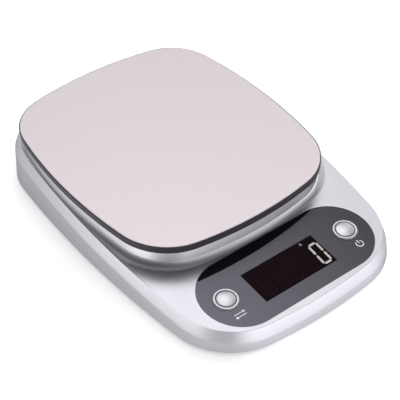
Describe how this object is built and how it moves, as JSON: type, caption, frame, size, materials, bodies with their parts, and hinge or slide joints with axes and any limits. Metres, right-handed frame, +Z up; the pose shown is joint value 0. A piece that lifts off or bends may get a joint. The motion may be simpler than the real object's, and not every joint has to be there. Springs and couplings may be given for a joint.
{
  "type": "digital gram scale",
  "caption": "Low battery-powered tabletop scale with a stainless rounded-rectangle platform on a tapered housing, and a sloping front panel with a numeric display and domed push buttons.",
  "frame": {"origin": "on the table, under the middle of the whole scale, at the bottom of its rubber feet", "axes": "+X is the user's right, +Y is to the rear, along the longest side, +Z is up; the display panel faces up and slightly forward at -Y"},
  "size_m": [0.1702, 0.244, 0.0364],
  "materials": {
    "silver_housing": "satin silver paint over moulded plastic",
    "base_plastic": "fine moulded texture, light grey",
    "screw_steel": "zinc-plated steel",
    "foot_rubber": "matt rubber",
    "stainless_sheet": "fine satin stainless",
    "tape_foam": "soft foam",
    "tray_plastic": "dark satin moulded plastic",
    "bracket_steel": "zinc-plated sheet steel",
    "cell_aluminium": "machined aluminium",
    "gauge_foil": "amber foil gauge",
    "sealant": "soft white sealant",
    "cable_jacket": "grey cable jacket",
    "label_print": "glossy printed film",
    "silver_button": "satin silver plastic",
    "switch_case": "black moulded plastic",
    "switch_plunger": "ivory moulded plastic",
    "display_glass": "dark display glass",
    "inner_plastic": "black moulded plastic",
    "light_guide": "white light guide",
    "zebra_rubber": "silicone connector",
    "board_laminate": "green solder mask",
    "black_resin": "black epoxy",
    "header_plastic": "natural nylon",
    "battery_jacket": "printed battery sleeve, plain",
    "contact_plating": "nickel-plated contact",
    "lead_jacket": "insulated lead"
  },
  "bodies": {
    "base": {"top_housing": "silver_housing", "bottom_housing": "base_plastic", "housing_screws": "screw_steel", "rubber_feet": "foot_rubber", "load_cell": "cell_aluminium", "cell_spacer_lower": "bracket_steel", "cell_screws_lower": "screw_steel", "strain_gauges": "gauge_foil", "gauge_sealant": "sealant", "gauge_cable": "cable_jacket", "label_panel": "label_print", "unit_switch_body": "switch_case", "power_switch_body": "switch_case", "lcd_glass": "display_glass", "lcd_frame": "inner_plastic", "lcd_backlight": "light_guide", "zebra_strip": "zebra_rubber", "main_board": "board_laminate", "board_screws": "screw_steel", "controller_dome": "black_resin", "board_components": "black_resin", "cable_header": "header_plastic", "batteries": "battery_jacket", "battery_bridge": "contact_plating", "battery_terminals": "contact_plating", "battery_springs": "contact_plating", "battery_leads": "lead_jacket"},
    "platform": {"steel_platform_sheet": "stainless_sheet", "sheet_tape": "tape_foam", "platform_tray": "tray_plastic", "tray_screws": "screw_steel", "platform_bracket": "bracket_steel", "cell_spacer_upper": "bracket_steel", "cell_screws_upper": "screw_steel"},
    "unit_key": {"unit_button": "silver_button", "unit_switch_plunger": "switch_plunger"},
    "power_key": {"power_button": "silver_button", "power_switch_plunger": "switch_plunger"},
    "battery_door": {"battery_cover": "base_plastic", "battery_foam": "tape_foam"}
  },
  "joints": [
    {"name": "platform_press", "type": "slide", "parent": "base", "child": "platform", "axis": [0, 0, -1], "range_m": [0, 0.0008], "stiffness_N_per_m": 150000, "deforming": ["load_cell"]},
    {"name": "unit_press", "type": "slide", "parent": "base", "child": "unit_key", "axis": [0, 0.0678, -0.9977], "range_m": [0, 0.0003], "stiffness_N_per_m": 5000},
    {"name": "power_press", "type": "slide", "parent": "base", "child": "power_key", "axis": [0, 0.0678, -0.9977], "range_m": [0, 0.0003], "stiffness_N_per_m": 5000},
    {"name": "battery_cover_tip", "type": "hinge", "parent": "base", "child": "battery_door", "pos_m": [0.0415, 0.0603, 0.0028], "axis": [1, 0, 0], "range_deg": [0, 60]}
  ]
}
